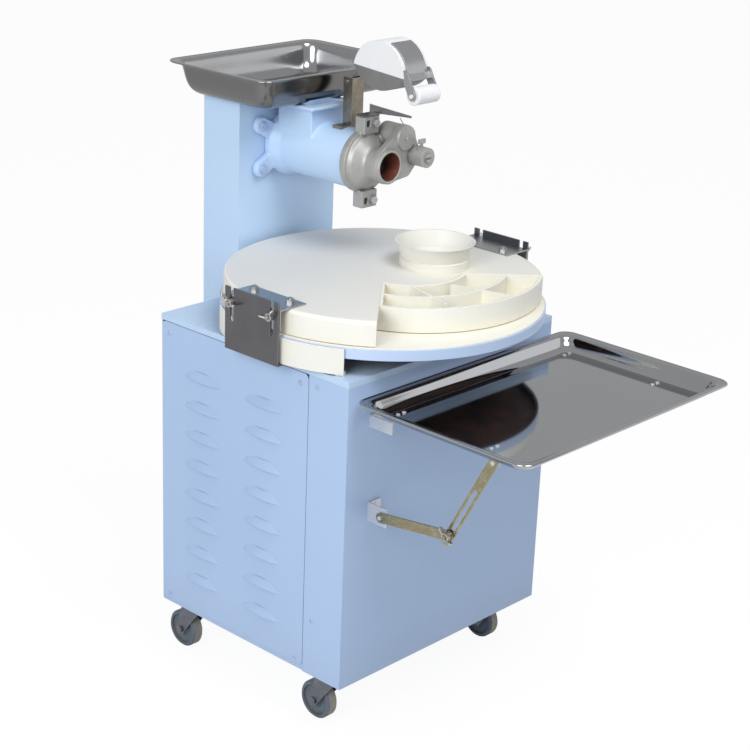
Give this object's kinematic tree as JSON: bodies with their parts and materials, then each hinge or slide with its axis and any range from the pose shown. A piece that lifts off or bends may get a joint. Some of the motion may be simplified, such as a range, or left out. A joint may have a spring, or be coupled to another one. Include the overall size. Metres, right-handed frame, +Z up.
{
  "type": "dough divider rounder",
  "caption": "Dough divider rounder on casters: an auger feeds a nozzle, a turning wire cuts the dough, and a disc under a spiral cover rolls the pieces round onto a tray.",
  "frame": {"origin": "on the floor below the middle of the bounding box", "axes": "+Z up, -Y towards the front where the tray is, +X to the right seen from the front"},
  "size_m": [0.6996, 1.097, 1.294],
  "materials": {
    "blue_paint": "satin powder coat",
    "stainless": "polished stainless",
    "white_plastic": "smooth nylon",
    "cast_aluminium": "cast, satin",
    "dark_metal": "dull dark steel",
    "zinc": "yellow zinc plate",
    "cast_iron": "rough casting",
    "rubber_black": "matt",
    "wheel_grey": "moulded wheel"
  },
  "bodies": {
    "cabinet": {"base_pan": "blue_paint", "front_panel": "blue_paint", "left_louvre_panel": "blue_paint", "right_louvre_panel": "blue_paint", "back_panel": "blue_paint", "top_plate": "blue_paint", "cabinet_screws": "stainless", "drive_frame": "dark_metal", "column_cover": "blue_paint", "column_back": "blue_paint", "barrel": "blue_paint", "hopper_tray": "stainless", "nozzle_head": "cast_aluminium", "head_fasteners": "stainless", "deflector": "dark_metal", "flour_stand": "zinc", "motor": "cast_iron", "gearbox": "cast_iron", "drive_belt": "rubber_black", "chain": "dark_metal", "disc_bearing": "cast_iron", "height_plates": "dark_metal", "arc_guard": "white_plastic", "tray_brackets": "dark_metal", "caster_plates": "dark_metal"},
    "turntable": {"turntable_disc": "blue_paint", "disc_liner": "white_plastic", "turntable_shaft": "stainless"},
    "auger": {"auger": "stainless", "auger_sprocket": "dark_metal"},
    "motor_pulley": {"motor_pulley": "dark_metal"},
    "input_pulley": {"input_pulley": "dark_metal"},
    "drive_sprocket": {"drive_sprocket": "dark_metal"},
    "cutter": {"cutter_shaft": "stainless", "cutter_hub": "cast_aluminium"},
    "flour_box": {"flour_box": "white_plastic", "flour_sieve": "stainless", "flour_hinge": "stainless", "roller_fork": "stainless"},
    "roller": {"roller": "white_plastic"},
    "cover": {"rounding_cover": "white_plastic", "cover_brackets": "stainless"},
    "funnel": {"funnel": "white_plastic"},
    "tray": {"tray_pan": "stainless", "tray_lugs": "stainless"},
    "strut_lower": {"strut_lower": "zinc"},
    "strut_upper": {"strut_upper": "zinc"},
    "strut_wing_nut": {"strut_wing_nut": "zinc"},
    "wing_nut_left_back": {"wing_nut_left_back": "zinc"},
    "wing_nut_left_front": {"wing_nut_left_front": "zinc"},
    "wing_nut_right_back": {"wing_nut_right_back": "zinc"},
    "wing_nut_right_front": {"wing_nut_right_front": "zinc"},
    "caster_fork_front_left": {"caster_fork_front_left": "dark_metal"},
    "caster_wheel_front_left": {"caster_wheel_front_left": "wheel_grey"},
    "caster_fork_front_right": {"caster_fork_front_right": "dark_metal"},
    "caster_wheel_front_right": {"caster_wheel_front_right": "wheel_grey"},
    "caster_fork_back_left": {"caster_fork_back_left": "dark_metal"},
    "caster_wheel_back_left": {"caster_wheel_back_left": "wheel_grey"},
    "caster_fork_back_right": {"caster_fork_back_right": "dark_metal"},
    "caster_wheel_back_right": {"caster_wheel_back_right": "wheel_grey"}
  },
  "joints": [
    {"name": "turntable_spin", "type": "hinge", "parent": "cabinet", "child": "turntable", "pos_m": [0, 0.0625, 0.79], "axis": [0, 0, 1], "continuous": true},
    {"name": "auger_spin", "type": "hinge", "parent": "cabinet", "child": "auger", "pos_m": [0.047, 0.3065, 1.045], "axis": [0, 1, 0], "continuous": true},
    {"name": "drive_sprocket_spin", "type": "hinge", "parent": "cabinet", "child": "drive_sprocket", "pos_m": [0.047, 0.4405, 0.48], "axis": [0, 1, 0], "continuous": true},
    {"name": "cutter_spin", "type": "hinge", "parent": "cabinet", "child": "cutter", "pos_m": [0.125, 0.1865, 1.057], "axis": [0, 1, 0], "continuous": true},
    {"name": "input_pulley_spin", "type": "hinge", "parent": "cabinet", "child": "input_pulley", "pos_m": [0.02, -0.0795, 0.46], "axis": [0, 1, 0], "continuous": true},
    {"name": "motor_spin", "type": "hinge", "parent": "cabinet", "child": "motor_pulley", "pos_m": [0.02, -0.0795, 0.22], "axis": [0, 1, 0], "continuous": true},
    {"name": "flour_box_rock", "type": "hinge", "parent": "cabinet", "child": "flour_box", "pos_m": [0.071, 0.2325, 1.191], "axis": [-1, 0, 0], "range_deg": [0, 40]},
    {"name": "roller_spin", "type": "hinge", "parent": "flour_box", "child": "roller", "pos_m": [0.047, 0.0213, 1.2015], "axis": [1, 0, 0], "continuous": true},
    {"name": "cover_height", "type": "slide", "parent": "cabinet", "child": "cover", "axis": [0, 0, 1], "range_m": [0, 0.02]},
    {"name": "funnel_lift", "type": "slide", "parent": "cover", "child": "funnel", "axis": [0, 0, 1], "range_m": [0, 0.02]},
    {"name": "tray_tilt", "type": "hinge", "parent": "cabinet", "child": "tray", "pos_m": [0.008, -0.1775, 0.658], "axis": [1, 0, 0], "range_deg": [0, 25]},
    {"name": "strut_lower_swing", "type": "hinge", "parent": "cabinet", "child": "strut_lower", "pos_m": [-0.236, -0.1695, 0.474], "axis": [1, 0, 0], "range_deg": [-1, 6]},
    {"name": "strut_upper_swing", "type": "hinge", "parent": "tray", "child": "strut_upper", "pos_m": [-0.23, -0.425, 0.665], "axis": [1, 0, 0], "range_deg": [-14, 1]},
    {"name": "strut_nut_spin", "type": "hinge", "parent": "strut_lower", "child": "strut_wing_nut", "pos_m": [-0.24, -0.3365, 0.496], "axis": [1, 0, 0], "continuous": true},
    {"name": "wing_nut_left_back_spin", "type": "hinge", "parent": "cover", "child": "wing_nut_left_back", "pos_m": [-0.334, 0.1365, 0.84], "axis": [1, 0, 0], "continuous": true},
    {"name": "wing_nut_left_front_spin", "type": "hinge", "parent": "cover", "child": "wing_nut_left_front", "pos_m": [-0.334, 0.0285, 0.84], "axis": [1, 0, 0], "continuous": true},
    {"name": "wing_nut_right_back_spin", "type": "hinge", "parent": "cover", "child": "wing_nut_right_back", "pos_m": [0.334, 0.0965, 0.84], "axis": [1, 0, 0], "continuous": true},
    {"name": "wing_nut_right_front_spin", "type": "hinge", "parent": "cover", "child": "wing_nut_right_front", "pos_m": [0.334, -0.0115, 0.84], "axis": [1, 0, 0], "continuous": true},
    {"name": "caster_swivel_front_left", "type": "hinge", "parent": "cabinet", "child": "caster_fork_front_left", "pos_m": [-0.247, -0.0735, 0.09], "axis": [0, 0, 1], "continuous": true},
    {"name": "caster_roll_front_left", "type": "hinge", "parent": "caster_fork_front_left", "child": "caster_wheel_front_left", "pos_m": [-0.247, -0.0355, 0.04], "axis": [1, 0, 0], "continuous": true},
    {"name": "caster_swivel_front_right", "type": "hinge", "parent": "cabinet", "child": "caster_fork_front_right", "pos_m": [0.247, -0.0735, 0.09], "axis": [0, 0, 1], "continuous": true},
    {"name": "caster_roll_front_right", "type": "hinge", "parent": "caster_fork_front_right", "child": "caster_wheel_front_right", "pos_m": [0.247, -0.0355, 0.04], "axis": [1, 0, 0], "continuous": true},
    {"name": "caster_swivel_back_left", "type": "hinge", "parent": "cabinet", "child": "caster_fork_back_left", "pos_m": [-0.247, 0.3265, 0.09], "axis": [0, 0, 1], "continuous": true},
    {"name": "caster_roll_back_left", "type": "hinge", "parent": "caster_fork_back_left", "child": "caster_wheel_back_left", "pos_m": [-0.247, 0.3645, 0.04], "axis": [1, 0, 0], "continuous": true},
    {"name": "caster_swivel_back_right", "type": "hinge", "parent": "cabinet", "child": "caster_fork_back_right", "pos_m": [0.247, 0.3265, 0.09], "axis": [0, 0, 1], "continuous": true},
    {"name": "caster_roll_back_right", "type": "hinge", "parent": "caster_fork_back_right", "child": "caster_wheel_back_right", "pos_m": [0.247, 0.3645, 0.04], "axis": [1, 0, 0], "continuous": true}
  ],
  "couplings": [
    {"joint": "auger_spin", "follows": "turntable_spin", "ratio": 1.5},
    {"joint": "drive_sprocket_spin", "follows": "turntable_spin", "ratio": 1.5},
    {"joint": "cutter_spin", "follows": "turntable_spin", "ratio": -1.5},
    {"joint": "input_pulley_spin", "follows": "turntable_spin", "ratio": 10},
    {"joint": "motor_spin", "follows": "turntable_spin", "ratio": 20},
    {"joint": "strut_lower_swing", "follows": "tray_tilt", "ratio": 0.173},
    {"joint": "strut_upper_swing", "follows": "tray_tilt", "ratio": -0.4543}
  ]
}
